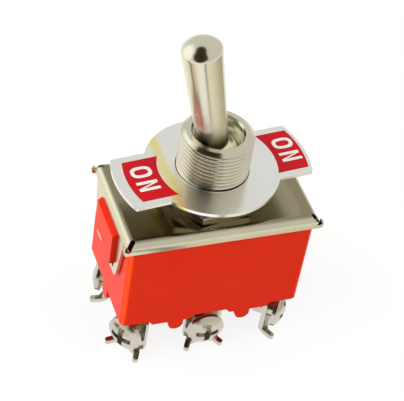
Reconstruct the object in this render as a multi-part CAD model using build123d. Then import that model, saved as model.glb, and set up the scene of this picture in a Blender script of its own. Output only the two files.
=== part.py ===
from build123d import *

import math
import os

# Double-pole toggle switch with screw terminals and a 12 mm threaded bushing.
# Millimetres. +Z runs up the bushing, +X along the case, and -Y is the front.
# The origin is on the bushing's axis at the top face of the indicator plate,
# where the free thread that passes through a panel begins.

# --- Bushing and the hardware threaded on it ---
bushing_radius = 6.0
bushing_pitch_radius = 5.76
bushing_rise = 7.6
bushing_chamfer_width = 0.75
bushing_chamfer_height = 0.6
bushing_flange_radius = 7.9
bushing_flange_width = 14.0
bushing_flange_thickness = 1.3
keyway_width = 2.0
keyway_depth = 0.7
hardware_turn = 5.5
thread_clearance = 0.05

plate_thickness = 0.6
plate_disc_radius = 11.2
plate_tab_radius = 16.6
plate_tab_width = 11.6
plate_corner_radius = 0.4
plate_key_clearance = 0.1
plate_bore_clearance = 0.1

nut_across_flats = 15.0
nut_thickness = 2.0
nut_chamfer = 0.4
upper_nut_turn = 30.0

washer_outer_radius = 8.0
washer_ring_radius = 7.0
washer_sheet = 0.5
washer_tooth_width = 1.5
washer_tooth_count = 8
washer_tooth_twist = 18.0

# --- Lever ---
lever_throw = 26.0
lever_pivot_depth = 5.25
lever_length = 24.7
lever_tip_radius = 3.25
lever_neck_radius = 2.55
lever_dome_height = 1.6
lever_tip_edge_radius = 0.8
lever_ball_radius = 4.2
lever_seat_clearance = 0.08
lever_tail_radius = 1.6
lever_tail_reach = 14.4
mouth_radius = 3.55
mouth_wall_radius = 3.8
mouth_ring_radius = 4.15
mouth_ring_depth = 1.7
mouth_lip_radius = 4.4
mouth_lip_depth = 0.4

# --- Folded steel cover ---
sheet_thickness = 0.6
bend_radius = 1.5
cover_overhang = 0.4
flange_height = 2.1
flange_end_reach = 0.5
flange_end_drop = 0.5
flange_end_radius = 0.5
strap_gap = 0.15
strap_drop = 11.4
strap_shoulder_drop = 3.3
strap_top_width = 14.8
strap_foot_width = 11.8
strap_corner_radius = 0.8
strap_arch_depth = 0.4
window_width = 9.2
window_top_drop = 2.6
window_bottom_drop = 10.4
window_corner_radius = 0.4
corner_relief_length = 2.2
corner_relief_width = 0.8

# --- Moulded case ---
case_length = 31.7
case_width = 19.2
case_depth = 19.1
case_corner_radius = 1.0
rebate_corner_radius = 3.0
case_inner_radius = 1.0
case_end_wall = 1.6
case_side_wall = 1.5
case_floor = 3.0
rebate_clearance = 0.1
barrier_thickness = 1.2
barrier_clearance = 0.5
barrier_notch_half_width = 8.2
barrier_shoulder_drop = 1.6
foot_pad_drop = 0.8
foot_pad_inner_x = 2.9
foot_pad_outer_x = 10.9
foot_pad_slope = 0.7
rib_x = 6.0
rib_radius = 1.3
rib_drop = 2.8
latch_side_gap = 0.2
latch_reach = 0.7
latch_ramp_drop = 0.6
latch_top_gap = 0.1
latch_bottom_gap = 1.0
latch_scoop_width = 4.0
latch_scoop_depth = 0.8
latch_scoop_offset = 1.5

# --- Poles: rocker contacts and rivets ---
pole_offset = 4.2
rocker_swing = 18.0
rocker_width = 4.6
rocker_sheet = 0.8
rocker_flat_half = 1.0
rocker_flat_top = 0.27
rocker_arm_slope = 23.3
rocker_knee_x = 5.5
rocker_reach = 11.4
rocker_ear_radius = 0.5
rocker_side_gap = 0.25
ear_clearance = 0.05
ear_end_gap = 0.05
saddle_width = 4.6
saddle_height_above_axis = 0.9
rivet_shank_radius = 0.7
moving_rivet_radius = 1.5
moving_rivet_height = 0.8
fixed_rivet_radius = 1.6
fixed_rivet_height = 0.9
rivet_edge = 0.25
contact_x = 9.7
contact_clearance = 0.03

# --- Lever shoe and its sprung plungers ---
shoe_flange_gap = 0.25
shoe_bottom_reach = 17.0
shoe_length = 6.0
shoe_width = 13.6
shoe_roof = 0.7
shoe_corner_radius = 0.6
socket_clearance = 0.03
plunger_radius = 1.2
plunger_clearance = 0.06
plunger_engagement = 2.2
plunger_tip_height = 1.87
plunger_stub_radius = 0.55
plunger_stub_length = 0.9
spring_wire_radius = 0.17
spring_turns = 4.0
spring_clearance = 0.12
spring_end_gap = 0.03

# --- Terminals and their screws ---
blade_thickness = 0.8
blade_width = 6.4
blade_neck_width = 3.6
blade_neck_drop = 0.9
blade_shoulder = 0.8
blade_drop = 9.3
pad_reach = 3.4
pad_end_radius = 2.3
throw_angle = 55.0
slot_clearance = 0.05
blade_taper_height = 1.6
fork_root_width = 4.8
fork_reach = 2.6
fork_tip_offset = 3.3
fork_prong_width = 1.0
fork_arch_reach = 1.0
fork_tip_rounding = 0.45
fold_radius = 1.1
screw_drop = 4.9
screw_radius = 1.7
screw_clearance = 0.05
screw_tail = 2.2
screw_head_radius = 3.25
screw_head_height = 1.9
screw_head_rim = 0.7
screw_head_gap = 1.0
screw_recess_width = 1.0
screw_recess_length = 4.0
screw_recess_depth = 1.4

# --- Levels that follow from the stack above the cover ---
tooth_twist = math.radians(washer_tooth_twist)
washer_height = washer_tooth_width * math.sin(tooth_twist) + washer_sheet * math.cos(tooth_twist)
washer_bottom = -plate_thickness - washer_height
upper_nut_bottom = washer_bottom - nut_thickness
lower_nut_bottom = upper_nut_bottom - nut_thickness
cover_top = lower_nut_bottom
cover_underside = cover_top - sheet_thickness
bushing_bottom = cover_underside - bushing_flange_thickness
flange_bottom = cover_top - flange_height
case_step = flange_bottom - rebate_clearance
case_bottom = cover_underside - case_depth
floor_top = case_bottom + case_floor
pad_top = floor_top + blade_thickness
blade_bottom = case_bottom - blade_drop
screw_level = case_bottom - screw_drop

# --- Plan sizes that follow from the fits ---
cover_length = case_length + 2 * (strap_gap + sheet_thickness)
cover_width = case_width + 2 * cover_overhang
saddle_pitch = rocker_width / 2 + rocker_side_gap + blade_thickness / 2
common_blade_y = pole_offset + saddle_pitch
throw_blade_x = contact_x + pad_reach * math.sin(math.radians(throw_angle))
throw_blade_y = pole_offset + pad_reach * math.cos(math.radians(throw_angle))

# --- Lever and rocker geometry ---
lever_pivot = bushing_rise - lever_pivot_depth
lever_rest_tilt = lever_throw / 2
rest_tilt = math.radians(lever_rest_tilt)
shoe_corner_rise = shoe_length / 2 * math.sin(rest_tilt)
shoe_top_reach = round(
    (lever_pivot - bushing_bottom + shoe_flange_gap + shoe_corner_rise) / math.cos(rest_tilt), 1
)
spring_bore_depth = shoe_bottom_reach - shoe_top_reach - shoe_roof
rocker_rest_tilt = rocker_swing / 2
knee_top = rocker_flat_top + (rocker_knee_x - rocker_flat_half) * math.tan(math.radians(rocker_arm_slope))
rocker_closed_drop = (
    rocker_knee_x * math.sin(math.radians(rocker_rest_tilt))
    - knee_top * math.cos(math.radians(rocker_rest_tilt))
)
rocker_axis = (
    pad_top + fixed_rivet_height + contact_clearance
    + moving_rivet_height + rocker_sheet + rocker_closed_drop
)
plunger_reach = lever_pivot - rocker_axis - plunger_tip_height

# Every pose-dependent piece is built upright and then set over to rest.
lever_at_rest = Pos(0, 0, lever_pivot) * Rot(0, -lever_rest_tilt, 0)


def block(x0, x1, y0, y1, z0, z1):
    """A box given by its six faces."""
    return Pos((x0 + x1) / 2, (y0 + y1) / 2, (z0 + z1) / 2) * Box(x1 - x0, y1 - y0, z1 - z0)


def post(radius, z0, z1, x=0.0, y=0.0):
    """An upright cylinder between two levels."""
    return Pos(x, y, (z0 + z1) / 2) * Cylinder(radius, z1 - z0)


def prism_up(face, z0, z1):
    """A plan outline carried from one level up to another."""
    return extrude(Pos(0, 0, z0) * face, z1 - z0)


def prism_across(points, y0, y1):
    """An outline in the XZ plane carried from one Y to another."""
    face = make_face(Polyline(*[(x, y0, z) for x, z in points], close=True))
    return extrude(face, y1 - y0, dir=(0, 1, 0))


def revolved(points):
    """A closed outline of (radius, z) points turned about the Z axis."""
    face = make_face(Polyline(*[(r, 0, z) for r, z in points], close=True))
    return revolve(face, Axis.Z)


def dome_arc(edge_radius, edge_level, crown_level):
    """Half the profile of a spherical crown, from its edge up to the axis."""
    rise = crown_level - edge_level
    sphere_radius = (edge_radius**2 + rise**2) / (2 * rise)
    middle = math.asin(edge_radius / sphere_radius) / 2
    middle_level = crown_level - sphere_radius * (1 - math.cos(middle))
    return ThreePointArc(
        (edge_radius, 0, edge_level), (sphere_radius * math.sin(middle), 0, middle_level), (0, 0, crown_level)
    )


# --- Pieces on the bushing ---

def make_bushing():
    """Turned brass: threaded barrel, spherical ball seat, stepped mouth, two-flat base flange.

    Where the nuts engage its thread the barrel has the pitch radius, and above the plate the crest's.
    """
    seat_radius = lever_ball_radius + lever_seat_clearance
    seat_top = lever_pivot + math.sqrt(seat_radius**2 - mouth_radius**2)
    body = revolved([
        (0, bushing_bottom),
        (bushing_flange_radius, bushing_bottom),
        (bushing_flange_radius, cover_underside),
        (bushing_pitch_radius, cover_underside),
        (bushing_pitch_radius, 0),
        (bushing_radius, 0),
        (bushing_radius, bushing_rise - bushing_chamfer_height),
        (bushing_radius - bushing_chamfer_width, bushing_rise),
        (0, bushing_rise),
    ])
    flat = bushing_flange_width / 2
    for side in (-1, 1):
        edge = side * flat
        far = side * 2 * bushing_flange_radius
        body -= block(
            -bushing_flange_radius, bushing_flange_radius, min(edge, far), max(edge, far),
            bushing_bottom, cover_underside,
        )
    ring_floor = bushing_rise - mouth_ring_depth
    body -= revolved([
        (0, seat_top - seat_radius / 4),
        (mouth_radius, seat_top - seat_radius / 4),
        (mouth_radius, seat_top),
        (mouth_wall_radius, ring_floor),
        (mouth_ring_radius, ring_floor),
        (mouth_ring_radius, bushing_rise - mouth_lip_depth),
        (mouth_lip_radius, bushing_rise),
        (0, bushing_rise),
    ])
    body -= Pos(0, 0, lever_pivot) * Sphere(seat_radius)
    body -= post(seat_radius, bushing_bottom, lever_pivot)
    keyway = block(
        -keyway_width / 2, keyway_width / 2,
        bushing_radius - keyway_depth, bushing_radius + keyway_depth,
        cover_top, bushing_rise,
    )
    return Rot(0, 0, hardware_turn) * (body - keyway)


def make_nut(bottom, turn):
    """Thin hexagon nut, both faces chamfered at the corners."""
    corner_radius = nut_across_flats / math.sqrt(3)
    hexagon = RegularPolygon(corner_radius, 6, rotation=turn)
    nut = prism_up(hexagon, bottom, bottom + nut_thickness)
    half_flats = nut_across_flats / 2
    envelope = revolved([
        (0, bottom),
        (half_flats, bottom),
        (corner_radius, bottom + nut_chamfer),
        (corner_radius, bottom + nut_thickness - nut_chamfer),
        (half_flats, bottom + nut_thickness),
        (0, bottom + nut_thickness),
    ])
    return (nut & envelope) - post(bushing_pitch_radius + thread_clearance, bottom, bottom + nut_thickness)


def make_lock_washer():
    """Internal-tooth lock washer: a flat ring with teeth twisted out of its plane."""
    middle = washer_bottom + washer_height / 2
    bore = bushing_radius + plate_bore_clearance
    washer = post(washer_outer_radius, middle - washer_sheet / 2, middle + washer_sheet / 2)
    washer -= post(washer_ring_radius, middle - washer_sheet, middle + washer_sheet)
    tooth_length = washer_ring_radius - bore
    tooth = Rot(washer_tooth_twist, 0, 0) * Box(
        2 * tooth_length, washer_tooth_width, washer_sheet
    )
    for number in range(washer_tooth_count):
        turn = hardware_turn + 360.0 * number / washer_tooth_count
        washer += Rot(0, 0, turn) * Pos(washer_ring_radius, 0, middle) * tooth
    return washer - post(bore, washer_bottom, washer_bottom + washer_height)


def make_indicator_plate():
    """One-piece sheet-metal plate: a disc with two tabs whose ends are arcs about the bushing."""
    tabs = Circle(plate_tab_radius) & Rectangle(2 * plate_tab_radius, plate_tab_width)
    outline = Circle(plate_disc_radius) + tabs
    plate = prism_up(outline, -plate_thickness, 0)
    tips = [edge for edge in plate.edges().filter_by(Axis.Z) if abs(edge.center().X) > plate_disc_radius]
    plate = fillet(tips, plate_corner_radius)
    plate -= post(bushing_radius + plate_bore_clearance, -plate_thickness, 0)
    key_half = keyway_width / 2 - plate_key_clearance
    key = block(
        -key_half, key_half,
        bushing_radius - keyway_depth + plate_key_clearance, bushing_radius + keyway_depth,
        -plate_thickness, 0,
    )
    return Rot(0, 0, hardware_turn) * (plate + key)


# --- Lever, shoe and plungers ---

def make_lever():
    """Turned bat lever: domed tip with a rounded edge, long taper, pivot ball and a tail."""
    shoulder = lever_length - lever_dome_height
    neck_level = math.sqrt(lever_ball_radius**2 - lever_neck_radius**2)
    dome = dome_arc(lever_tip_radius, shoulder, lever_length)
    sides = Polyline(
        (0, 0, lever_length), (0, 0, 0), (lever_neck_radius, 0, 0),
        (lever_neck_radius, 0, neck_level), (lever_tip_radius, 0, shoulder),
    )
    bat = revolve(make_face(dome + sides), Axis.Z)
    rims = [edge for edge in bat.edges().filter_by(GeomType.CIRCLE) if edge.is_closed]
    bat = fillet(max(rims, key=lambda rim: rim.center().Z), lever_tip_edge_radius)
    tail = post(lever_tail_radius, -lever_tail_reach, 0)
    return lever_at_rest * (bat + Sphere(lever_ball_radius) + tail)


def make_lever_shoe():
    """Moulded crossbar pressed on the lever's tail, with one plunger bore for each pole."""
    shoe = block(
        -shoe_length / 2, shoe_length / 2, -shoe_width / 2, shoe_width / 2,
        -shoe_bottom_reach, -shoe_top_reach,
    )
    shoe = fillet(shoe.edges().filter_by(Axis.Z), shoe_corner_radius)
    shoe -= post(lever_tail_radius + socket_clearance, -lever_tail_reach - socket_clearance, -shoe_top_reach)
    bore = plunger_radius + plunger_clearance
    for side in (-1, 1):
        shoe -= post(bore, -shoe_bottom_reach, spring_bore_depth - shoe_bottom_reach, 0, side * pole_offset)
    return lever_at_rest * shoe


def make_plunger(side):
    """Round-nosed plunger with a stub that centres its spring."""
    top = plunger_engagement - shoe_bottom_reach
    plunger = post(plunger_radius, -plunger_reach, top)
    plunger += Pos(0, 0, -plunger_reach) * Sphere(plunger_radius)
    plunger += post(plunger_stub_radius, top, top + plunger_stub_length)
    return lever_at_rest * Pos(0, side * pole_offset, 0) * plunger


def make_plunger_spring(side):
    """Compression spring between a plunger's shoulder and the blind end of its bore."""
    lowest = plunger_engagement - shoe_bottom_reach + spring_wire_radius + spring_end_gap
    highest = spring_bore_depth - shoe_bottom_reach - spring_wire_radius - spring_end_gap
    coil_radius = plunger_radius + plunger_clearance - spring_clearance - spring_wire_radius
    height = highest - lowest
    path = Helix(height / spring_turns, height, coil_radius)
    section = Plane(path @ 0, z_dir=path % 0) * Circle(spring_wire_radius)
    spring = Pos(0, 0, lowest) * sweep(section, path, is_frenet=True)
    return lever_at_rest * Pos(0, side * pole_offset, 0) * spring


# --- Rocker contacts ---

def underside(x, z, slope_before, slope_after):
    """The point below a bend of the strip, one sheet thickness from both of its faces."""
    before = math.radians(slope_before)
    after = math.radians(slope_after)
    share = rocker_sheet / (1 + math.cos(after - before))
    return (
        x + share * (math.sin(before) + math.sin(after)),
        z - share * (math.cos(before) + math.cos(after)),
    )


def rocker_outline():
    """Gull-wing strip: flat over the fulcrum, steep arms, and ends that close parallel."""
    end_slope = math.tan(math.radians(rocker_rest_tilt))
    end_top = knee_top + (rocker_reach - rocker_knee_x) * end_slope
    flat_bend = (rocker_flat_half, rocker_flat_top)
    knee_bend = (rocker_knee_x, knee_top)
    right = [
        flat_bend, knee_bend, (rocker_reach, end_top),
        underside(rocker_reach, end_top, rocker_rest_tilt, rocker_rest_tilt),
        underside(*knee_bend, rocker_arm_slope, rocker_rest_tilt),
        underside(*flat_bend, 0, rocker_arm_slope),
    ]
    left = [(-x, z) for x, z in reversed(right)]
    return right + left


def rivet_place(side):
    """The middle of a rocker end's underside, square to that end, in the rocker's own frame."""
    tilt = math.radians(rocker_rest_tilt)
    closed_level = -rocker_closed_drop - rocker_sheet
    x = contact_x * math.cos(tilt) - closed_level * math.sin(tilt)
    z = contact_x * math.sin(tilt) + closed_level * math.cos(tilt)
    return Pos(side * x, 0, z) * Rot(0, -side * rocker_rest_tilt, 0)


def rocker_at_rest(side):
    """Carries a piece from the rocker's own frame to its pole, set over to the closed side."""
    return Pos(0, side * pole_offset, rocker_axis) * Rot(0, rocker_rest_tilt, 0)


def make_rocker(side):
    """Copper rocker strip with two round ears that sit in the common terminal's saddle."""
    half = rocker_width / 2
    rocker = prism_across(rocker_outline(), -half, half)
    ear_reach = half + rocker_side_gap + blade_thickness - ear_end_gap
    rocker += Rot(90, 0, 0) * Cylinder(rocker_ear_radius, 2 * ear_reach)
    for end in (-1, 1):
        rocker -= rivet_place(end) * post(rivet_shank_radius, 0, rocker_sheet)
    return rocker_at_rest(side) * rocker


def make_rocker_rivets(side):
    """The two silver contact rivets headed through the ends of a rocker."""
    rivet = post(moving_rivet_radius, -moving_rivet_height, 0)
    rivet = chamfer(rivet.edges().group_by(Axis.Z)[0], rivet_edge)
    rivet += post(rivet_shank_radius, 0, rocker_sheet)
    return rocker_at_rest(side) * Compound([rivet_place(end) * rivet for end in (-1, 1)])


def make_fixed_rivets():
    """The four silver contact rivets headed through the throw terminals' pads."""
    head = post(fixed_rivet_radius, pad_top, pad_top + fixed_rivet_height)
    head = chamfer(head.edges().group_by(Axis.Z)[-1], rivet_edge)
    rivet = head + post(rivet_shank_radius, floor_top, pad_top)
    places = [(x, y) for x in (-contact_x, contact_x) for y in (-pole_offset, pole_offset)]
    return Compound([Pos(x, y, 0) * rivet for x, y in places])


# --- Terminals, built facing the front with the blade's middle on the Z axis ---

def blade_outline():
    """Neck through the floor, sloped shoulders, then the full blade down to the fold."""
    neck = blade_neck_width / 2
    half = blade_width / 2
    root = fork_root_width / 2
    shoulder_top = case_bottom - blade_neck_drop
    taper_top = blade_bottom + blade_taper_height
    right = [
        (neck, pad_top), (neck, shoulder_top), (half - blade_shoulder, shoulder_top),
        (half, shoulder_top - blade_shoulder), (half, taper_top),
        (root, blade_bottom + fold_radius), (root, blade_bottom),
    ]
    return right + [(-x, z) for x, z in reversed(right)]


def fork_face():
    """Plan of the foot: two prongs splayed outwards from the fold, with a concave arch between."""
    root = fork_root_width / 2
    slant = fork_prong_width / math.sqrt(2) / 2
    outer = (fork_tip_offset + slant, -fork_reach + slant)
    inner = (fork_tip_offset - slant, -fork_reach - slant)
    arch_start = (root - slant, -fork_arch_reach - slant)
    outline = Polyline(
        (-arch_start[0], arch_start[1]), (-inner[0], inner[1]), (-outer[0], outer[1]),
        (-root, 0), (-root, blade_thickness), (root, blade_thickness), (root, 0), outer, inner, arch_start,
    )
    arch = ThreePointArc(arch_start, (0, -fork_arch_reach), (-arch_start[0], arch_start[1]))
    return make_face(outline + arch)


def make_blade_and_fork():
    """The part of a terminal below the floor: one strip, folded outwards into the fork."""
    half = blade_thickness / 2
    blade = prism_across(blade_outline(), -half, half)
    fork = prism_up(fork_face(), blade_bottom, blade_bottom + blade_thickness)
    strip_half = blade_width / 2
    rounding = block(-strip_half, strip_half, half - fold_radius, half, blade_bottom, blade_bottom + fold_radius)
    bend = Pos(0, half - fold_radius, blade_bottom + fold_radius) * Rot(0, 90, 0) * Cylinder(
        fold_radius, blade_width
    )
    tips = [edge for edge in fork.edges().filter_by(Axis.Z) if edge.center().Y < -fork_arch_reach - fork_prong_width]
    fork = fillet(tips, fork_tip_rounding)
    terminal = blade + (fork & block(
        -2 * blade_width, 2 * blade_width, -2 * blade_width, half, blade_bottom, blade_bottom + blade_thickness
    ))
    terminal -= rounding - bend
    hole = Pos(0, 0, screw_level) * Rot(90, 0, 0) * Cylinder(screw_radius + screw_clearance, blade_width)
    return terminal - hole


def make_throw_terminal():
    """Blade and fork, with the neck turned inwards above the floor as the fixed contact's pad."""
    pad = block(
        -blade_neck_width / 2, blade_neck_width / 2, -blade_thickness / 2, pad_reach, floor_top, pad_top
    )
    pad += post(pad_end_radius, floor_top, pad_top, 0, pad_reach)
    pad -= post(rivet_shank_radius, floor_top, pad_top, 0, pad_reach)
    return make_blade_and_fork() + pad


def saddle_wall():
    """One upright wall of the saddle, open at the top down to a round seat for the ear."""
    half = blade_thickness / 2
    top = rocker_axis + saddle_height_above_axis
    wall = block(-saddle_width / 2, saddle_width / 2, -half, half, floor_top, top)
    seat = rocker_ear_radius + ear_clearance
    wall -= Pos(0, 0, rocker_axis) * Rot(90, 0, 0) * Cylinder(seat, blade_width)
    return wall - block(-seat, seat, -half, half, rocker_axis, top)


def make_common_terminal():
    """Blade and fork, with a base on the floor and two saddle walls that carry the rocker's ears."""
    base = block(
        -saddle_width / 2, saddle_width / 2,
        -blade_thickness / 2, 2 * saddle_pitch + blade_thickness / 2, floor_top, pad_top,
    )
    return make_blade_and_fork() + base + saddle_wall() + Pos(0, 2 * saddle_pitch, 0) * saddle_wall()


def screw():
    """Pan-head screw along -Y with a cross recess; its thread is left to the finish."""
    seat = blade_thickness / 2 + screw_head_gap
    rim = screw_head_rim
    profile = Polyline(
        (0, 0, screw_head_height), (0, 0, -seat - screw_tail), (screw_radius, 0, -seat - screw_tail),
        (screw_radius, 0, 0), (screw_head_radius, 0, 0), (screw_head_radius, 0, rim),
    )
    crown = dome_arc(screw_head_radius, rim, screw_head_height)
    body = revolve(make_face(profile + crown), Axis.Z)
    recess_floor = screw_head_height - screw_recess_depth
    half_length = screw_recess_length / 2
    half_width = screw_recess_width / 2
    body -= block(-half_length, half_length, -half_width, half_width, recess_floor, screw_head_height)
    body -= block(-half_width, half_width, -half_length, half_length, recess_floor, screw_head_height)
    return Pos(0, -seat, screw_level) * Rot(90, 0, 0) * body


def throw_places():
    """The four corner positions: name, place and turn of each throw terminal."""
    places = []
    for end, x_sign in (("left", -1), ("right", 1)):
        for face, y_sign in (("front", -1), ("back", 1)):
            turn = x_sign * throw_angle if y_sign < 0 else 180 - x_sign * throw_angle
            place = Pos(x_sign * throw_blade_x, y_sign * throw_blade_y, 0) * Rot(0, 0, turn)
            places.append((f"throw_terminal_{face}_{end}", place))
    return places


def common_places():
    """The two middle positions: name and place of each common terminal."""
    return [
        ("common_terminal_front", Pos(0, -common_blade_y, 0)),
        ("common_terminal_back", Pos(0, common_blade_y, 0) * Rot(0, 0, 180)),
    ]


# --- Cover and case ---

def scoop_cutter(side, level, depth):
    """A cylinder along X at one end wall, its crown standing a depth above a level."""
    half = latch_scoop_width / 2
    radius = (half**2 + depth**2) / (2 * depth)
    place = Pos(side * cover_length / 2, -side * latch_scoop_offset, level + depth - radius)
    return place * Rot(0, 90, 0) * Cylinder(radius, 2 * (strap_gap + sheet_thickness))


def flange_ends():
    """The ends of the long flanges, which reach past the straps with their corners rounded."""
    reach = cover_length / 2 + flange_end_reach
    inner_y = cover_width / 2 - sheet_thickness
    outer = block(-reach, reach, -cover_width / 2, cover_width / 2, flange_bottom, cover_top)
    outer = fillet(outer.edges().filter_by(Axis.X).group_by(Axis.Z)[-1], bend_radius)
    ends = outer - block(-reach, reach, -inner_y, inner_y, flange_bottom, cover_top)
    root = cover_length / 2 - bend_radius
    ends -= block(-root, root, -cover_width, cover_width, flange_bottom, cover_top)
    ends -= block(-reach, reach, -cover_width, cover_width, cover_top - flange_end_drop, cover_top)
    tips = [
        edge for edge in ends.edges().filter_by(Axis.Y) if abs(edge.center().X) > cover_length / 2
    ]
    return fillet(tips, flange_end_radius)


def make_cover():
    """Folded steel cover: long flanges front and back, and a windowed latch strap at each end."""
    shell_bottom = cover_top - strap_drop
    outer = block(
        -cover_length / 2, cover_length / 2, -cover_width / 2, cover_width / 2, shell_bottom, cover_top
    )
    outer = fillet(outer.edges().group_by(Axis.Z)[-1], bend_radius)
    inner_x = cover_length / 2 - sheet_thickness
    inner_y = cover_width / 2 - sheet_thickness
    inner = block(-inner_x, inner_x, -inner_y, inner_y, shell_bottom, cover_underside)
    inner = fillet(inner.edges().group_by(Axis.Z)[-1], bend_radius - sheet_thickness)
    shell = outer - inner

    bend_end = cover_top - bend_radius
    top_half = strap_top_width / 2
    foot_half = strap_foot_width / 2
    slope_top = cover_top - strap_shoulder_drop
    strap_side = [
        (-top_half, cover_top), (-top_half, slope_top), (-foot_half, shell_bottom + strap_corner_radius),
        (strap_corner_radius - foot_half, shell_bottom),
    ]
    strap_points = strap_side + [(-y, z) for y, z in reversed(strap_side)]
    strap_face = make_face(Polyline(*[(-cover_length, y, z) for y, z in strap_points], close=True))
    strap = extrude(strap_face, 2 * cover_length, dir=(1, 0, 0))
    skirt = block(-cover_length, cover_length, -cover_width, cover_width, flange_bottom, cover_top)
    shell &= skirt + strap

    for side in (-1, 1):
        edge = sorted((side * (inner_x - strap_gap), side * cover_length))
        for flank in (-1, 1):
            gap = sorted((flank * top_half, flank * inner_y))
            shell -= block(*edge, *gap, flange_bottom, bend_end)
        window = Rot(0, 90, 0) * extrude(
            RectangleRounded(window_bottom_drop - window_top_drop, window_width, window_corner_radius),
            cover_length,
        )
        middle = cover_top - (window_top_drop + window_bottom_drop) / 2
        shell -= Pos(0, 0, middle) * (window if side > 0 else Rot(0, 0, 180) * window)
        shell -= scoop_cutter(side, shell_bottom, strap_arch_depth)
    shell += flange_ends()
    for side in (-1, 1):
        for flank in (-1, 1):
            corner = (
                side * (cover_length - bend_radius) / 2, flank * (cover_width - bend_radius) / 2,
                cover_top - bend_radius / 2,
            )
            slot_plane = Plane(origin=corner, x_dir=(side, flank, -2), z_dir=(side, flank, 1))
            slot = slot_plane * SlotOverall(corner_relief_length, corner_relief_width)
            shell -= extrude(slot, bend_radius, both=True)
    return shell - post(bushing_radius + thread_clearance, cover_underside, cover_top)


def foot_ribs():
    """Half-round barrier ribs under the floor, between neighbouring terminals."""
    straight = rib_drop - rib_radius
    face = make_face(
        Polyline(
            (-rib_radius, 0, case_bottom - straight), (-rib_radius, 0, case_bottom + case_floor / 2),
            (rib_radius, 0, case_bottom + case_floor / 2), (rib_radius, 0, case_bottom - straight),
        )
        + ThreePointArc(
            (rib_radius, 0, case_bottom - straight), (0, 0, case_bottom - rib_drop),
            (-rib_radius, 0, case_bottom - straight),
        )
    )
    cross = extrude(face, case_width / 2, dir=(0, 1, 0), both=True)
    along = Rot(0, 0, 90) * extrude(face, case_length / 2, dir=(0, 1, 0), both=True)
    return Pos(-rib_x, 0, 0) * cross + Pos(rib_x, 0, 0) * cross + along


def latch_block(side):
    """Block on an end wall: the strap rides over its slope and snaps home in the window round it."""
    wall = case_length / 2
    strap_face = wall + strap_gap + sheet_thickness
    reach = strap_face + latch_reach
    top = cover_top - window_top_drop - latch_top_gap
    bottom = cover_top - window_bottom_drop + latch_bottom_gap
    half = window_width / 2 - latch_side_gap
    points = [
        (wall - case_end_wall / 2, bottom), (reach, bottom), (reach, top - latch_ramp_drop),
        (strap_face, top), (wall - case_end_wall / 2, top),
    ]
    latch = prism_across([(side * x, z) for x, z in points], -half, half)
    return latch - scoop_cutter(side, bottom, latch_scoop_depth)


def make_case():
    """Moulded case: two open compartments, a notched barrier, terminal slots, feet and latches."""
    plan = RectangleRounded(case_length, case_width, case_corner_radius)
    case = prism_up(plan, case_bottom, case_step)
    rebate = cover_width / 2 - sheet_thickness - rebate_clearance
    upper = RectangleRounded(case_length, 2 * rebate, rebate_corner_radius)
    upper_walls = prism_up(upper, case_step, cover_underside)
    upper_walls = chamfer(upper_walls.edges().group_by(Axis.Z)[-1], bend_radius - sheet_thickness)
    case += upper_walls

    pad_points = [
        (foot_pad_inner_x, case_bottom + case_floor / 2), (foot_pad_outer_x, case_bottom + case_floor / 2),
        (foot_pad_outer_x, case_bottom), (foot_pad_outer_x - foot_pad_slope, case_bottom - foot_pad_drop),
        (foot_pad_inner_x + foot_pad_slope, case_bottom - foot_pad_drop), (foot_pad_inner_x, case_bottom),
    ]
    for side in (-1, 1):
        case += prism_across([(side * x, z) for x, z in pad_points], -case_width / 2, case_width / 2)
    case += foot_ribs()

    inside_x = case_length / 2 - case_end_wall
    inside_y = case_width / 2 - case_side_wall
    inside = RectangleRounded(2 * inside_x, 2 * inside_y, case_inner_radius)
    case -= prism_up(inside, floor_top, cover_underside)
    shoe_low = lever_pivot - shoe_bottom_reach * math.cos(rest_tilt) - shoe_corner_rise
    notch_floor = shoe_low - barrier_clearance
    half = barrier_thickness / 2
    barrier = block(-inside_x, inside_x, -half, half, floor_top, cover_underside - barrier_shoulder_drop)
    barrier -= block(
        -barrier_notch_half_width, barrier_notch_half_width, -half, half, notch_floor, cover_underside
    )
    case += barrier + latch_block(-1) + latch_block(1)

    slot = block(
        -blade_neck_width / 2 - slot_clearance, blade_neck_width / 2 + slot_clearance,
        -blade_thickness / 2 - slot_clearance, blade_thickness / 2 + slot_clearance,
        case_bottom - rib_drop, floor_top,
    )
    for name, place in throw_places() + common_places():
        case -= place * slot
    return case


# --- Every piece, by node name ---

def all_pieces():
    pieces = {
        "case": make_case(),
        "cover": make_cover(),
        "bushing": make_bushing(),
        "lower_nut": make_nut(lower_nut_bottom, hardware_turn),
        "upper_nut": make_nut(upper_nut_bottom, hardware_turn + upper_nut_turn),
        "lock_washer": make_lock_washer(),
        "indicator_plate": make_indicator_plate(),
        "lever": make_lever(),
        "lever_shoe": make_lever_shoe(),
        "fixed_contact_rivets": make_fixed_rivets(),
    }
    for name, side in (("front", -1), ("back", 1)):
        pieces[f"plunger_{name}"] = make_plunger(side)
        pieces[f"plunger_spring_{name}"] = make_plunger_spring(side)
        pieces[f"rocker_contact_{name}"] = make_rocker(side)
        pieces[f"rocker_rivets_{name}"] = make_rocker_rivets(side)
    for name, place in throw_places():
        pieces[name] = place * make_throw_terminal()
    for name, place in common_places():
        pieces[name] = place * make_common_terminal()
    screws = [place * screw() for name, place in throw_places() + common_places()]
    pieces["terminal_screws"] = Compound(screws)
    return pieces


os.makedirs("parts", exist_ok=True)
for node, shape in all_pieces().items():
    export_step(shape, f"parts/{node}.step")
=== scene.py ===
import math

import bmesh
import bpy
import numpy as np
from mathutils import Matrix, Vector


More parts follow.
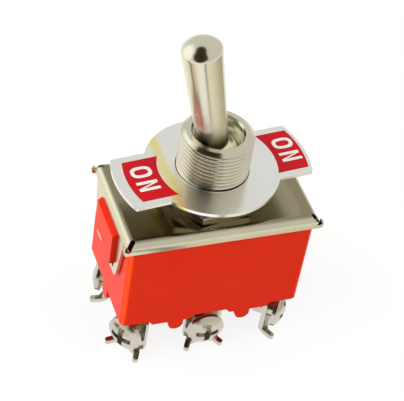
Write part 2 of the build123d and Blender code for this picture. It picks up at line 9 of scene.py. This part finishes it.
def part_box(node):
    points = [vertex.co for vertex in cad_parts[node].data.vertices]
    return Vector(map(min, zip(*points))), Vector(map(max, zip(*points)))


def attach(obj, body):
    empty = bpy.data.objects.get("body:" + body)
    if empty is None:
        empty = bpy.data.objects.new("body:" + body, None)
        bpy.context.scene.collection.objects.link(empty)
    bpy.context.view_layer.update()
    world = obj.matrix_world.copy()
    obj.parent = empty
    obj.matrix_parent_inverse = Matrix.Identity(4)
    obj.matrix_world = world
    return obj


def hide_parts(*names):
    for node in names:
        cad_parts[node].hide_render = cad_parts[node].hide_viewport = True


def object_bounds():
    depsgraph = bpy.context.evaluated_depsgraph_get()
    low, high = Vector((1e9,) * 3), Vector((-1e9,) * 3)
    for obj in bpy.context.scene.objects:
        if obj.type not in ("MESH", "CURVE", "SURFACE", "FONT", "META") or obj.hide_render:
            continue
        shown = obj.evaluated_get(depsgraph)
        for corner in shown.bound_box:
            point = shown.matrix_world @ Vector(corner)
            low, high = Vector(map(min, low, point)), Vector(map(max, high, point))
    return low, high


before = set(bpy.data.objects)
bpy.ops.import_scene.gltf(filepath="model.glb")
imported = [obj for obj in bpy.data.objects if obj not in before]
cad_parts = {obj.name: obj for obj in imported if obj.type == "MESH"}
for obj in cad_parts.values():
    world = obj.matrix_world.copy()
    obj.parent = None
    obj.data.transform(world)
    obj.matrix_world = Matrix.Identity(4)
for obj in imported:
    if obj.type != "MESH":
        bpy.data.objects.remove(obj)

cad_low, cad_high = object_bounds()


# ---------------------------------------------------------------------------------------------
# Bushing. Turned from brass bar: a fine thread runs up the barrel, a keyway is milled along its
# back, and the mouth steps down in rings to the round seat of the lever's ball. Nickel plated.
# ---------------------------------------------------------------------------------------------
MM = 0.001
hardware_turn = math.radians(5.5)
cover_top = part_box("cover")[1][2]
cover_underside = cover_top - 0.6 * MM


def linear(hex_colour):
    """Each sRGB channel turned to linear light: the low end divided, the rest raised to 2.4."""
    channel = np.array([int(hex_colour[i:i + 2], 16) for i in (1, 3, 5)]) / 255
    curve = np.where(channel <= 0.04045, channel / 12.92, ((channel + 0.055) / 1.055) ** 2.4)
    return (*(float(value) for value in curve), 1.0)


def add_node(tree, kind, inputs=None, **settings):
    """Adds one shader node. An input that is a socket becomes a link, and any other is a value."""
    node = tree.nodes.new(kind)
    for name, value in settings.items():
        setattr(node, name, value)
    for name, value in (inputs or {}).items():
        if isinstance(value, bpy.types.NodeSocket):
            tree.links.new(value, node.inputs[name])
        else:
            node.inputs[name].default_value = value
    return node


def blank_material(name):
    """An empty node tree with its output and its Object coordinates."""
    material = bpy.data.materials.new(name)
    material.use_nodes = True
    tree = material.node_tree
    tree.nodes.clear()
    output = add_node(tree, "ShaderNodeOutputMaterial")
    place = add_node(tree, "ShaderNodeTexCoord")
    return material, tree, output, place.outputs["Object"]


def spread(tree, value, low, high):
    """A 0 to 1 pattern stretched between two values."""
    return add_node(
        tree, "ShaderNodeMapRange", {"Value": value, "To Min": low, "To Max": high}
    ).outputs["Result"]


def two_tone(tree, pattern, first, second):
    """A colour between two, each a hex colour or a socket, chosen by a 0 to 1 pattern."""
    mix = add_node(tree, "ShaderNodeMixRGB")
    tree.links.new(pattern, mix.inputs["Fac"])
    for socket, tone in (("Color1", first), ("Color2", second)):
        if isinstance(tone, str):
            mix.inputs[socket].default_value = linear(tone)
        else:
            tree.links.new(tone, mix.inputs[socket])
    return mix.outputs["Color"]


def distance(tree, place, centre, axes):
    """How far a point is from a centre in metres, measured along the axes that are 1."""
    offset = add_node(tree, "ShaderNodeVectorMath", {0: place, 1: centre}, operation="SUBTRACT")
    kept = add_node(
        tree, "ShaderNodeVectorMath", {0: offset.outputs[0], 1: axes}, operation="MULTIPLY"
    )
    return add_node(
        tree, "ShaderNodeVectorMath", {0: kept.outputs[0]}, operation="LENGTH"
    ).outputs["Value"]


def ramp(tree, value, start, end, low=0.0, high=1.0):
    """A soft step: low up to the start, high from the end on, and an S-curve between them."""
    return add_node(
        tree, "ShaderNodeMapRange",
        {"Value": value, "From Min": start, "From Max": end, "To Min": low, "To Max": high},
        interpolation_type="SMOOTHSTEP",
    ).outputs["Result"]


def times(tree, first, second):
    """Two patterns multiplied."""
    return add_node(tree, "ShaderNodeMath", {0: first, 1: second}, operation="MULTIPLY").outputs[0]


def plated_metal(
    name, light, dark, roughness, edge_mm=0.06, grain_mm=0.6, grain_depth=0.004, change=None
):
    """Bright plating: two close tones in soft clouds, a roughness that drifts, and rounded edges.

    A change takes the tree and the place. It gives a 0 to 1 pattern with the colour and the
    roughness that take over where the pattern is 1.
    """
    material, tree, output, place = blank_material(name)
    clouds = add_node(
        tree, "ShaderNodeTexNoise", {"Vector": place, "Scale": 1 / (6 * MM), "Detail": 3.0}
    ).outputs["Fac"]
    grain = add_node(
        tree, "ShaderNodeTexNoise", {"Vector": place, "Scale": 1 / (grain_mm * MM), "Detail": 4.0}
    ).outputs["Fac"]
    edge = add_node(tree, "ShaderNodeBevel", {"Radius": edge_mm * MM}, samples=4)
    relief = add_node(
        tree, "ShaderNodeBump",
        {
            "Height": grain, "Strength": 0.25, "Distance": grain_depth * MM,
            "Normal": edge.outputs["Normal"],
        },
    )
    tone = two_tone(tree, clouds, dark, light)
    finish = spread(tree, clouds, roughness * 0.8, roughness * 1.25)
    if change:
        share, other_tone, other_finish = change(tree, place)
        tone = two_tone(tree, share, tone, other_tone)
        finish = add_node(
            tree, "ShaderNodeMapRange", {"Value": share, "To Min": finish, "To Max": other_finish}
        ).outputs["Result"]
    shader = add_node(
        tree, "ShaderNodeBsdfPrincipled",
        {
            "Base Color": tone, "Metallic": 1.0, "Roughness": finish,
            "Normal": relief.outputs["Normal"],
        },
    )
    tree.links.new(shader.outputs["BSDF"], output.inputs["Surface"])
    return material


sharp_angle = math.radians(32)


def grid_surface(name, points, material, body, wrap_rows=False, wrap_columns=True):
    """A surface through a grid of points (row, column, xyz), its coinciding points made one."""
    rows, columns = points.shape[:2]
    index = np.arange(rows * columns).reshape(rows, columns)
    if wrap_rows:
        index = np.vstack([index, index[:1]])
    if wrap_columns:
        index = np.hstack([index, index[:, :1]])
    quads = np.stack([index[:-1, :-1], index[:-1, 1:], index[1:, 1:], index[1:, :-1]], axis=-1)
    mesh = bpy.data.meshes.new(name)
    mesh.from_pydata(points.reshape(-1, 3).tolist(), [], quads.reshape(-1, 4).tolist())
    work = bmesh.new()
    work.from_mesh(mesh)
    bmesh.ops.remove_doubles(work, verts=work.verts, dist=1e-7)
    bmesh.ops.recalc_face_normals(work, faces=work.faces)
    work.to_mesh(mesh)
    work.free()
    mesh.polygons.foreach_set("use_smooth", np.ones(len(mesh.polygons), dtype=bool))
    mesh.set_sharp_from_angle(angle=sharp_angle)
    mesh.materials.append(material)
    piece = bpy.data.objects.new(name, mesh)
    bpy.context.scene.collection.objects.link(piece)
    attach(piece, body)
    return piece


def turned_about_z(points, angle):
    """Every point turned about the Z axis by one angle."""
    c, s = math.cos(angle), math.sin(angle)
    return points @ np.array([[c, s, 0], [-s, c, 0], [0, 0, 1]])


bushing_base, bushing_rim = (corner[2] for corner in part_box("bushing"))
crest, thread_depth, thread_pitch = 6.0, 0.42, 0.75
rim_cone = 0.6


def thread_root_painted_shade(tree, place):
    """Painted shade and dull polish near the thread's root, not in the mouth or on the rim's cone.
    """
    root = crest - thread_depth
    from_axis = distance(tree, place, (0, 0, 0), (1, 1, 0))
    near_root = ramp(tree, from_axis, (root + 0.02) * MM, (root + 0.14) * MM, 1.0, 0.0)
    outside_mouth = ramp(tree, from_axis, 5.20 * MM, 5.30 * MM)
    height = distance(tree, place, (0, 0, 0), (0, 0, 1))
    cone_start = bushing_rim - rim_cone * MM
    below_cone = ramp(tree, height, cone_start - 0.1 * MM, cone_start + 0.1 * MM, 1.0, 0.0)
    return times(tree, times(tree, near_root, outside_mouth), below_cone), "#4A4638", 0.4


# Bright nickel over brass: warm, softly mirroring; painted shade and duller polish in the roots.
nickel_on_brass = plated_metal(
    "nickel-plated brass", "#E2DECC", "#D6D1BC", 0.15, change=thread_root_painted_shade
)


def bushing_points():
    """Rows run out along the base, up the thread, over the rim and down into the seat.

    On the thread the radius is the crest's less the depth times a raised cosine wave of the
    height. The wave climbs one pitch a turn and is shallower in the first half millimetre above
    the plate. The last columns cross the keyway's flat floor between its two walls. Millimetres.
    """
    base, under, rim = bushing_base / MM, cover_underside / MM, bushing_rim / MM
    plate_hole_top = cover_top / MM
    engaged, flange, flat = 5.76, 7.9, 7.0
    key_half, key_floor = 1.0, 5.3
    pivot, seat = 2.35, 4.28
    mouth, ledge, throat, ledge_depth, throat_depth = 4.15, 3.8, 3.55, 1.7, 2.86
    lip, lip_depth, rim_edge, cone_reach = 4.4, 0.4, 5.25, 0.75
    rows_a_pitch, threads, lead_in, shallowest, sharpness = 14, 11.2, 0.5, 0.2, 1.4

    key_angle = math.asin(key_half / crest)
    around = np.linspace(key_angle, 2 * math.pi - key_angle, 161)
    last = around.size - 1
    floor = np.linspace(-key_half, key_half, 5)[1:-1]
    angle = np.concatenate([around, np.arctan2(floor, key_floor)])
    turn = np.mod(angle, 2 * math.pi) / (2 * math.pi)
    in_key = np.zeros(angle.size, dtype=bool)
    in_key[[0, last]] = True
    in_key[last + 1:] = True
    x_key = np.zeros(angle.size)
    x_key[0], x_key[last] = key_half, -key_half
    x_key[last + 1:] = floor

    def ring(radius, height, key=False):
        radius = np.broadcast_to(radius, angle.shape).astype(float)
        height = np.broadcast_to(height, angle.shape).astype(float)
        x, y = radius * np.sin(angle), radius * np.cos(angle)
        if key:
            wall_y = np.sqrt(np.maximum(radius**2 - x_key**2, 0))
            y = np.where(in_key, wall_y, y)
            y[last + 1:] = np.minimum(key_floor, wall_y[last + 1:])
            x = np.where(in_key, x_key, x)
        return np.stack([x, y, height], axis=-1)

    flange_radius = np.minimum(flange, flat / np.maximum(np.abs(np.cos(angle)), 1e-6))
    rows = [ring(seat, base), ring(flange_radius, base), ring(flange_radius, under)]
    rows += [ring(engaged, under), ring(engaged, plate_hole_top)]
    rows += [ring(engaged, plate_hole_top, True), ring(engaged, 0.0, True)]
    for step in np.arange(-rows_a_pitch, threads * rows_a_pitch) / rows_a_pitch:
        height = np.clip((step + turn) * thread_pitch, 0.0, rim)
        wave = (0.5 - 0.5 * np.cos(2 * math.pi * step)) ** sharpness
        thread = crest - thread_depth * wave * np.clip(height / lead_in, shallowest, 1)
        cone = crest - cone_reach * np.clip((height - (rim - rim_cone)) / rim_cone, 0, 1)
        rows.append(ring(np.minimum(thread, cone), height, True))
    rows += [ring(rim_edge, rim, True), ring(lip, rim), ring(mouth, rim - lip_depth)]
    rows += [ring(mouth, rim - ledge_depth), ring(ledge, rim - ledge_depth)]
    rows += [ring(throat, rim - throat_depth)]
    for elevation in np.linspace(math.acos(throat / seat), 0, 8):
        rows.append(ring(seat * math.cos(elevation), pivot + seat * math.sin(elevation)))
    return turned_about_z(np.array(rows) * MM, hardware_turn)


threaded_bushing = grid_surface(
    "threaded_bushing", bushing_points(), nickel_on_brass, "housing", wrap_rows=True
)
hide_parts("bushing")


# ---------------------------------------------------------------------------------------------
# Nuts and lock washer. Thin hexagon nuts cut from steel bar, and a stamped spring-steel washer.
# ---------------------------------------------------------------------------------------------
def dress(node, material):
    """Puts a finish on every slot of a piece that comes from the frame."""
    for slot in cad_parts[node].material_slots:
        slot.material = material


nickel_on_steel = plated_metal("nickel-plated steel", "#C8C1AE", "#B3AB97", 0.2, edge_mm=0.12)
for node in ("lower_nut", "upper_nut", "lock_washer"):
    dress(node, nickel_on_steel)


# ---------------------------------------------------------------------------------------------
# Indicator plate. Stamped from satin-plated sheet; the red fields and their words are printed ink.
# ---------------------------------------------------------------------------------------------
def yellowed_band(tree, place):
    """A straight band beside the bushing, as of yellowed lacquer, that fades at its sides."""
    from_middle = distance(tree, place, (-7.9 * MM, 0, 0), (1, 0, 0))
    patches = add_node(
        tree, "ShaderNodeTexNoise", {"Vector": place, "Scale": 1 / (4 * MM), "Detail": 2.0}
    ).outputs["Fac"]
    strength = spread(tree, patches, 0.35, 1.0)
    band = ramp(tree, from_middle, 0.4 * MM, 1.3 * MM, 1.0, 0.0)
    return times(tree, band, strength), "#FFEC84", 0.3


# Clear-lacquered satin plate: paler and softer than the bright nickel around it.
satin_plate = plated_metal(
    "satin nickel-plated sheet", "#FCFCFA", "#F4F4F1", 0.22,
    edge_mm=0.08, grain_depth=0.003, change=yellowed_band,
)
dress("indicator_plate", satin_plate)


def printed_ink(name, base, shade, roughness):
    """Screen-printed ink: an even colour that thins a little in clouds, with a faint gloss."""
    material, tree, output, place = blank_material(name)
    clouds = add_node(
        tree, "ShaderNodeTexNoise", {"Vector": place, "Scale": 1 / (2.5 * MM), "Detail": 5.0}
    ).outputs["Fac"]
    relief = add_node(
        tree, "ShaderNodeBump", {"Height": clouds, "Strength": 0.3, "Distance": 0.01 * MM}
    )
    shader = add_node(
        tree, "ShaderNodeBsdfPrincipled",
        {
            "Base Color": two_tone(tree, clouds, base, shade),
            "Roughness": roughness,
            "Specular IOR Level": 0.15,
            "Normal": relief.outputs["Normal"],
        },
    )
    tree.links.new(shader.outputs["BSDF"], output.inputs["Surface"])
    return material


red_ink = printed_ink("red screen ink", "#C00C1C", "#B40A18", 0.45)
white_ink = printed_ink("white screen ink", "#E6E2DC", "#DAD6D0", 0.4)
ink_thickness = 0.02


def field_points(side, inner, outer, half):
    """Across the tab by along it: straight sides, both ends arcs about the bushing's axis."""
    across = np.linspace(-half, half, 17)
    share = np.linspace(0, 1, 5)
    y, t = np.meshgrid(across, share, indexing="ij")
    x = np.sqrt(inner**2 - y**2) * (1 - t) + np.sqrt(outer**2 - y**2) * t
    points = np.stack([side * x, y, np.full_like(x, ink_thickness)], axis=-1)
    return turned_about_z(points * MM, hardware_turn)


def flat_outline(name, outlines, height, material):
    """Flat printed shapes, each a closed list of (x, y) corners in millimetres."""
    mesh = bpy.data.meshes.new(name)
    work = bmesh.new()
    for outline in outlines:
        corners = turned_about_z(np.array([(x, y, height) for x, y in outline]) * MM, hardware_turn)
        work.faces.new([work.verts.new(corner) for corner in corners])
    bmesh.ops.triangulate(work, faces=work.faces)
    bmesh.ops.recalc_face_normals(work, faces=work.faces)
    for face in work.faces:
        if face.normal.z < 0:
            face.normal_flip()
    work.to_mesh(mesh)
    work.free()
    mesh.materials.append(material)
    piece = bpy.data.objects.new(name, mesh)
    bpy.context.scene.collection.objects.link(piece)
    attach(piece, "housing")
    return piece


def letter_o(centre_x, centre_y):
    """A ring of short quads between two ovals, each midway from an ellipse to a superellipse.

    The superellipse is of power 4: its x and y are the signed square roots of cosine and sine.
    """
    tall, wide, stroke = 3.6, 2.5, 0.62
    turns = np.linspace(0, 2 * math.pi, 41)
    c, s = np.cos(turns), np.sin(turns)
    x = (c + np.sign(c) * np.sqrt(np.abs(c))) / 2
    y = (s + np.sign(s) * np.sqrt(np.abs(s))) / 2
    outer = np.stack([centre_x + x * tall / 2, centre_y + y * wide / 2], axis=-1)
    inner = np.stack(
        [centre_x + x * (tall / 2 - stroke), centre_y + y * (wide / 2 - stroke)], axis=-1
    )
    return [
        [outer[i], outer[i + 1], inner[i + 1], inner[i]] for i in range(turns.size - 1)
    ]


def letter_n(centre_x, centre_y):
    """Two uprights and a slanting stroke; the letter reads along -Y with its top towards +X."""
    tall, wide, stroke, slant = 3.6, 2.1, 0.6, 0.85
    low, high = centre_x - tall / 2, centre_x + tall / 2
    first, last = centre_y + wide / 2, centre_y - wide / 2
    return [
        [(low, first), (low, first - stroke), (high, first - stroke), (high, first)],
        [(low, last + stroke), (low, last), (high, last), (high, last + stroke)],
        [
            (high, first - stroke), (high - slant, first - stroke),
            (low, last + stroke), (low + slant, last + stroke),
        ],
    ]


# The printing sits a little off centre: both fields and their words lie nearer the +X end.
# For each field: its side, its name, where it starts and ends and its word's middle, in mm.
printed_fields = [(-1, "left", 9.1, 14.75, -11.8), (1, "right", 10.9, 16.05, 13.6)]
field_half_width = 4.6
o_place, n_place = 1.75, -1.45
for side, end, inner, outer, letter_x in printed_fields:
    field = grid_surface(
        f"printed_field_{end}", field_points(side, inner, outer, field_half_width), red_ink,
        "housing", wrap_columns=False,
    )
    word = flat_outline(
        f"printed_word_{end}", letter_o(letter_x, o_place) + letter_n(letter_x, n_place),
        2 * ink_thickness, white_ink,
    )


# ---------------------------------------------------------------------------------------------
# Lever. Turned from brass bar and polished before plating, so it mirrors more than the rest.
# ---------------------------------------------------------------------------------------------
lever_pivot = 2.35 * MM


def satin_ball_painted_light_and_shade(tree, place):
    """Painted light on the satin ball, painted shade on its neck, a stem glossier towards the tip.
    """
    from_pivot = distance(tree, place, (0, 0, lever_pivot), (1, 1, 1))
    ball_edge = ramp(tree, from_pivot, 4.22 * MM, 4.4 * MM)
    neck_edge = ramp(tree, from_pivot, 5.0 * MM, 7.6 * MM)
    tone = two_tone(tree, neck_edge, two_tone(tree, ball_edge, "#FFFFEA", "#4E4730"), "#E6E1CE")
    return ramp(tree, from_pivot, 5.0 * MM, 32 * MM, 1.0, 0.0), tone, 0.3


# Polished nickel mirrors the room, and the ball, which rubs in its seat, stays satin.
# Painted light makes the ball pale and painted shade makes the neck dark.
polished_nickel = plated_metal(
    "polished nickel plate", "#E6E1CE", "#DAD4BE", 0.13,
    edge_mm=0.25, grain_depth=0.002, change=satin_ball_painted_light_and_shade,
)
dress("lever", polished_nickel)


# ---------------------------------------------------------------------------------------------
# Cover. Blanked and folded from thin steel sheet, then bright nickel plated. The plating is one
# colour in truth: the flat top is toned down for the dim part of a room that it would mirror.
# ---------------------------------------------------------------------------------------------
def toned_top(tree, place):
    """The flat top, down to the start of the bends, in a darker and yellower tone."""
    below = distance(tree, place, (0, 0, cover_top), (0, 0, 1))
    return ramp(tree, below, 0.02 * MM, 0.35 * MM, 1.0, 0.0), "#9A9278", 0.17


# Bright nickel over thin rolled steel: a near mirror with the sheet's slow waves in it.
bright_sheet = plated_metal(
    "bright nickel-plated sheet", "#DEDAC4", "#D2CDB4", 0.2,
    edge_mm=0.1, grain_mm=4.0, grain_depth=0.08, change=toned_top,
)
dress("cover", bright_sheet)


# ---------------------------------------------------------------------------------------------
# Case. Compression moulded in red thermosetting plastic, with the mould's slight waviness.
# ---------------------------------------------------------------------------------------------
def moulded_plastic(name, base, shade, roughness, edge_mm=0.15, change=None):
    """Moulded plastic: faint colour clouds, a fine pebbled skin and softly rounded edges.

    A change takes the tree, the place and the colour so far, and gives the colour to use.
    """
    material, tree, output, place = blank_material(name)
    clouds = add_node(
        tree, "ShaderNodeTexNoise", {"Vector": place, "Scale": 1 / (5 * MM), "Detail": 4.0}
    ).outputs["Fac"]
    skin = add_node(
        tree, "ShaderNodeTexNoise", {"Vector": place, "Scale": 1 / (0.25 * MM), "Detail": 2.0}
    ).outputs["Fac"]
    edge = add_node(tree, "ShaderNodeBevel", {"Radius": edge_mm * MM}, samples=4)
    relief = add_node(
        tree, "ShaderNodeBump",
        {
            "Height": skin, "Strength": 0.3, "Distance": 0.008 * MM,
            "Normal": edge.outputs["Normal"],
        },
    )
    tone = two_tone(tree, clouds, base, shade)
    if change:
        tone = change(tree, place, tone)
    shader = add_node(
        tree, "ShaderNodeBsdfPrincipled",
        {
            "Base Color": tone,
            "Roughness": spread(tree, clouds, roughness * 0.85, roughness * 1.15),
            "Specular IOR Level": 0.06,
            "Normal": relief.outputs["Normal"],
        },
    )
    tree.links.new(shader.outputs["BSDF"], output.inputs["Surface"])
    return material


def painted_rim_shade_and_corner_highlight(tree, place, tone):
    """Painted shade on the rebated rim under the cover, painted highlights on the four upright
    corners.
    """
    fold = add_node(tree, "ShaderNodeVectorMath", {0: place}, operation="ABSOLUTE").outputs[0]
    from_corner = distance(tree, fold, (15.85 * MM, 9.6 * MM, 0), (1, 1, 0))
    corner = ramp(tree, from_corner, 0.35 * MM, 0.8 * MM, 1.0, 0.0)
    below_top = distance(tree, place, (0, 0, cover_top), (0, 0, 1))
    rim_shade_mask = ramp(tree, below_top, 2.3 * MM, 2.6 * MM, 1.0, 0.0)
    return two_tone(tree, rim_shade_mask, two_tone(tree, corner, tone, "#F84A18"), "#1E0806")


# Phenolic red: saturated, with a thin weak gloss that shows only at a flat angle.
# Its rim under the cover is painted with shade, and its upright corners with a highlight.
red_moulding = moulded_plastic(
    "red moulded plastic", "#CC2600", "#C41F00", 0.3, change=painted_rim_shade_and_corner_highlight
)
dress("case", red_moulding)


# ---------------------------------------------------------------------------------------------
# Terminals and screws. Brass strip, folded and nickel plated; steel pan-head screws, plated.
# ---------------------------------------------------------------------------------------------
# Both are bright nickel with broken reflections; the screws are a little duller.
bright_terminal = plated_metal(
    "nickel-plated brass strip", "#D8D4C8", "#C8C3B4", 0.18, edge_mm=0.08
)
plated_screw = plated_metal("nickel-plated screw steel", "#D6D2C6", "#C4BFB0", 0.2, edge_mm=0.15)
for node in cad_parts:
    if "_terminal_" in node:
        dress(node, bright_terminal)
dress("terminal_screws", plated_screw)


# ---------------------------------------------------------------------------------------------
# Inner pieces: the nylon shoe, brass plungers, wire springs, copper rockers and silver contacts.
# ---------------------------------------------------------------------------------------------
natural_nylon = moulded_plastic("natural nylon", "#E6E0D0", "#DCD6C6", 0.45)
turned_brass = plated_metal("turned brass", "#D8BC78", "#C8AA66", 0.25)
spring_wire = plated_metal("spring wire", "#9A9A98", "#8A8A88", 0.3)
copper_strip = plated_metal("copper strip", "#D09070", "#C08060", 0.3)
silver_alloy = plated_metal("silver contact alloy", "#E6E6E2", "#DADAD4", 0.25)
inner_finishes = {
    "lever_shoe": natural_nylon, "plunger_front": turned_brass, "plunger_back": turned_brass,
    "plunger_spring_front": spring_wire, "plunger_spring_back": spring_wire,
    "rocker_contact_front": copper_strip, "rocker_contact_back": copper_strip,
    "rocker_rivets_front": silver_alloy, "rocker_rivets_back": silver_alloy,
    "fixed_contact_rivets": silver_alloy,
}
for node, material in inner_finishes.items():
    dress(node, material)


# ---------------------------------------------------------------------------------------------
# Studio: a pale floor, soft lamps, a light room that is darker behind the camera, the camera.
# ---------------------------------------------------------------------------------------------
def pale_floor():
    """A wide matt sheet that mostly glows white where it is seen, and takes a faint shadow."""
    material, tree, output, place = blank_material("pale studio floor")
    cloth = add_node(
        tree, "ShaderNodeTexNoise", {"Vector": place, "Scale": 3.0, "Detail": 2.0}
    ).outputs["Fac"]
    matt = add_node(
        tree, "ShaderNodeBsdfDiffuse", {"Color": two_tone(tree, cloth, "#F8F8F8", "#F4F4F4")}
    )
    glow = add_node(tree, "ShaderNodeEmission", {"Color": (1, 1, 1, 1), "Strength": 1.0})
    rays = add_node(tree, "ShaderNodeLightPath")
    seen = add_node(
        tree, "ShaderNodeMath",
        {0: rays.outputs["Is Camera Ray"], 1: rays.outputs["Is Glossy Ray"]}, operation="MAXIMUM",
    )
    seen = add_node(
        tree, "ShaderNodeMath",
        {0: seen.outputs[0], 1: rays.outputs["Is Transmission Ray"]}, operation="MAXIMUM",
    )
    mix = add_node(tree, "ShaderNodeMixShader", {"Fac": times(tree, seen.outputs[0], 0.85)})
    tree.links.new(matt.outputs[0], mix.inputs[1])
    tree.links.new(glow.outputs[0], mix.inputs[2])
    tree.links.new(mix.outputs[0], output.inputs["Surface"])
    return material


floor_level = cad_low[2]
reach = 3.0
floor_mesh = bpy.data.meshes.new("studio_floor")
floor_mesh.from_pydata(
    [
        (x * reach, y * reach, floor_level)
        for x, y in ((-1, -1), (1, -1), (1, 1), (-1, 1))
    ],
    [], [(0, 1, 2, 3)],
)
floor_mesh.materials.append(pale_floor())
studio_floor = bpy.data.objects.new("studio_floor", floor_mesh)
bpy.context.scene.collection.objects.link(studio_floor)


def toward(azimuth, elevation):
    """The unit direction of a compass azimuth and height, both in degrees."""
    a, e = math.radians(azimuth), math.radians(elevation)
    return (math.sin(a) * math.cos(e), -math.cos(a) * math.cos(e), math.sin(e))


def studio_card(name, start, stop, tone, inner=0.030, outer=0.150):
    """A sector of a ring just over the floor, between two tones, seen only in reflections."""
    sweep = np.radians(np.linspace(start, stop, 9))
    angles, radii = np.meshgrid(sweep, [inner, outer], indexing="ij")
    height = np.full_like(radii, floor_level + 0.2 * MM)
    points = np.stack([radii * np.sin(angles), -radii * np.cos(angles), height], axis=-1)
    index = np.arange(points.shape[0] * 2).reshape(-1, 2)
    quads = np.stack([index[:-1, 0], index[:-1, 1], index[1:, 1], index[1:, 0]], axis=-1)
    mesh = bpy.data.meshes.new(name)
    mesh.from_pydata(points.reshape(-1, 3).tolist(), [], quads.tolist())
    material, tree, output, place = blank_material(name)
    facing = toward((start + stop) / 2 + 90, 0)
    aside = add_node(tree, "ShaderNodeVectorMath", {0: place}, operation="NORMALIZE").outputs[0]
    aside = add_node(tree, "ShaderNodeVectorMath", {0: aside, 1: facing}, operation="DOT_PRODUCT")
    half = math.sin(math.radians(stop - start) / 2)
    fade = ramp(tree, aside.outputs["Value"], -half, half)
    paper = add_node(tree, "ShaderNodeBsdfDiffuse", {"Color": two_tone(tree, fade, *tone)})
    tree.links.new(paper.outputs[0], output.inputs["Surface"])
    mesh.materials.append(material)
    card = bpy.data.objects.new(name, mesh)
    bpy.context.scene.collection.objects.link(card)
    card.visible_camera = card.visible_diffuse = card.visible_shadow = False


# Each card: from one azimuth to the next, in degrees, with the tones at its two ends.
studio_card("card_right", 6, 112, ("#DCD8CC", "#A8A28E"))
studio_card("card_front_strip", -3, 6, ("#787368", "#787368"))
studio_card("card_left", -84, -48, ("#B4AE9E", "#DCD6C8"))
studio_card("card_left_strip", -94, -84, ("#504C44", "#504C44"))
studio_card("card_far_left", -160, -94, ("#F0ECE4", "#DCD8D0"))


lamp_distance = 0.6


def soft_lamp(name, azimuth, elevation, size, power):
    """A square lamp that faces the switch from a compass direction and height."""
    away = np.array(toward(azimuth, elevation))
    light = bpy.data.lights.new(name, "AREA")
    light.shape = "SQUARE"
    light.size = size
    light.energy = power
    lamp = bpy.data.objects.new(name, light)
    bpy.context.scene.collection.objects.link(lamp)
    lamp.location = away * lamp_distance
    lamp.rotation_mode = "QUATERNION"
    lamp.rotation_quaternion = Vector(away).to_track_quat("Z", "Y")
    lamp.visible_glossy = False


soft_lamp("lamp_left", -78, 32, 0.8, 5.5)
soft_lamp("lamp_right", 60, 50, 0.6, 1.5)

room = bpy.data.worlds.new("light room")
bpy.context.scene.world = room
room.use_nodes = True
tree = room.node_tree
tree.nodes.clear()
sky_output = add_node(tree, "ShaderNodeOutputWorld")
sky_place = add_node(tree, "ShaderNodeTexCoord").outputs["Generated"]


def zone(directions, edge, core):
    """1 near any of the directions and 0 away from them; edge and core are cosines of the angle."""
    share = 0.0
    for direction in directions:
        cosine = add_node(
            tree, "ShaderNodeVectorMath", {0: sky_place, 1: toward(*direction)},
            operation="DOT_PRODUCT",
        ).outputs["Value"]
        share = add_node(
            tree, "ShaderNodeMath", {0: ramp(tree, cosine, edge, core), 1: share},
            operation="MAXIMUM",
        ).outputs[0]
    return share


# The room as the metal mirrors it: grey walls, a bright window side, and darkness behind the eye.
window_side = [(-118, 15)]
dark_side = [(-60, 48), (-30, 50), (-55, 64), (-80, 72), (-36, 24)]
walls = two_tone(tree, zone(window_side, 0.75, 0.95), "#C8C8C4", "#FFFFFC")
sky = two_tone(tree, zone(dark_side, 0.91, 0.945), walls, "#30291F")
backdrop = add_node(tree, "ShaderNodeBackground", {"Color": sky, "Strength": 1.25})
tree.links.new(backdrop.outputs[0], sky_output.inputs["Surface"])

view_azimuth, view_elevation, view_roll = -25.51, 43.76, math.radians(10.30)
view_distance, aside, above = 242.13 * MM, -0.95 * MM, -1.77 * MM
back = np.array(toward(view_azimuth, view_elevation))
level = np.cross([0, 0, 1], back)
level /= np.linalg.norm(level)
upright = np.cross(back, level)
right = math.cos(view_roll) * level + math.sin(view_roll) * upright
up = -math.sin(view_roll) * level + math.cos(view_roll) * upright
aim = np.array([0, 0, cover_top])
camera_data = bpy.data.cameras.new("camera")
camera_data.sensor_width = 36.0
camera_data.lens = 131.11
camera_data.shift_y = 0.001
camera_data.clip_start = 0.01
camera_data.clip_end = 20.0
camera = bpy.data.objects.new("camera", camera_data)
bpy.context.scene.collection.objects.link(camera)
placing = np.eye(4)
placing[:3, 0], placing[:3, 1], placing[:3, 2] = right, up, back
placing[:3, 3] = aim + back * view_distance + right * aside + up * above
camera.matrix_world = Matrix(placing.tolist())
bpy.context.scene.camera = camera
bpy.context.scene.view_settings.view_transform = "Standard"
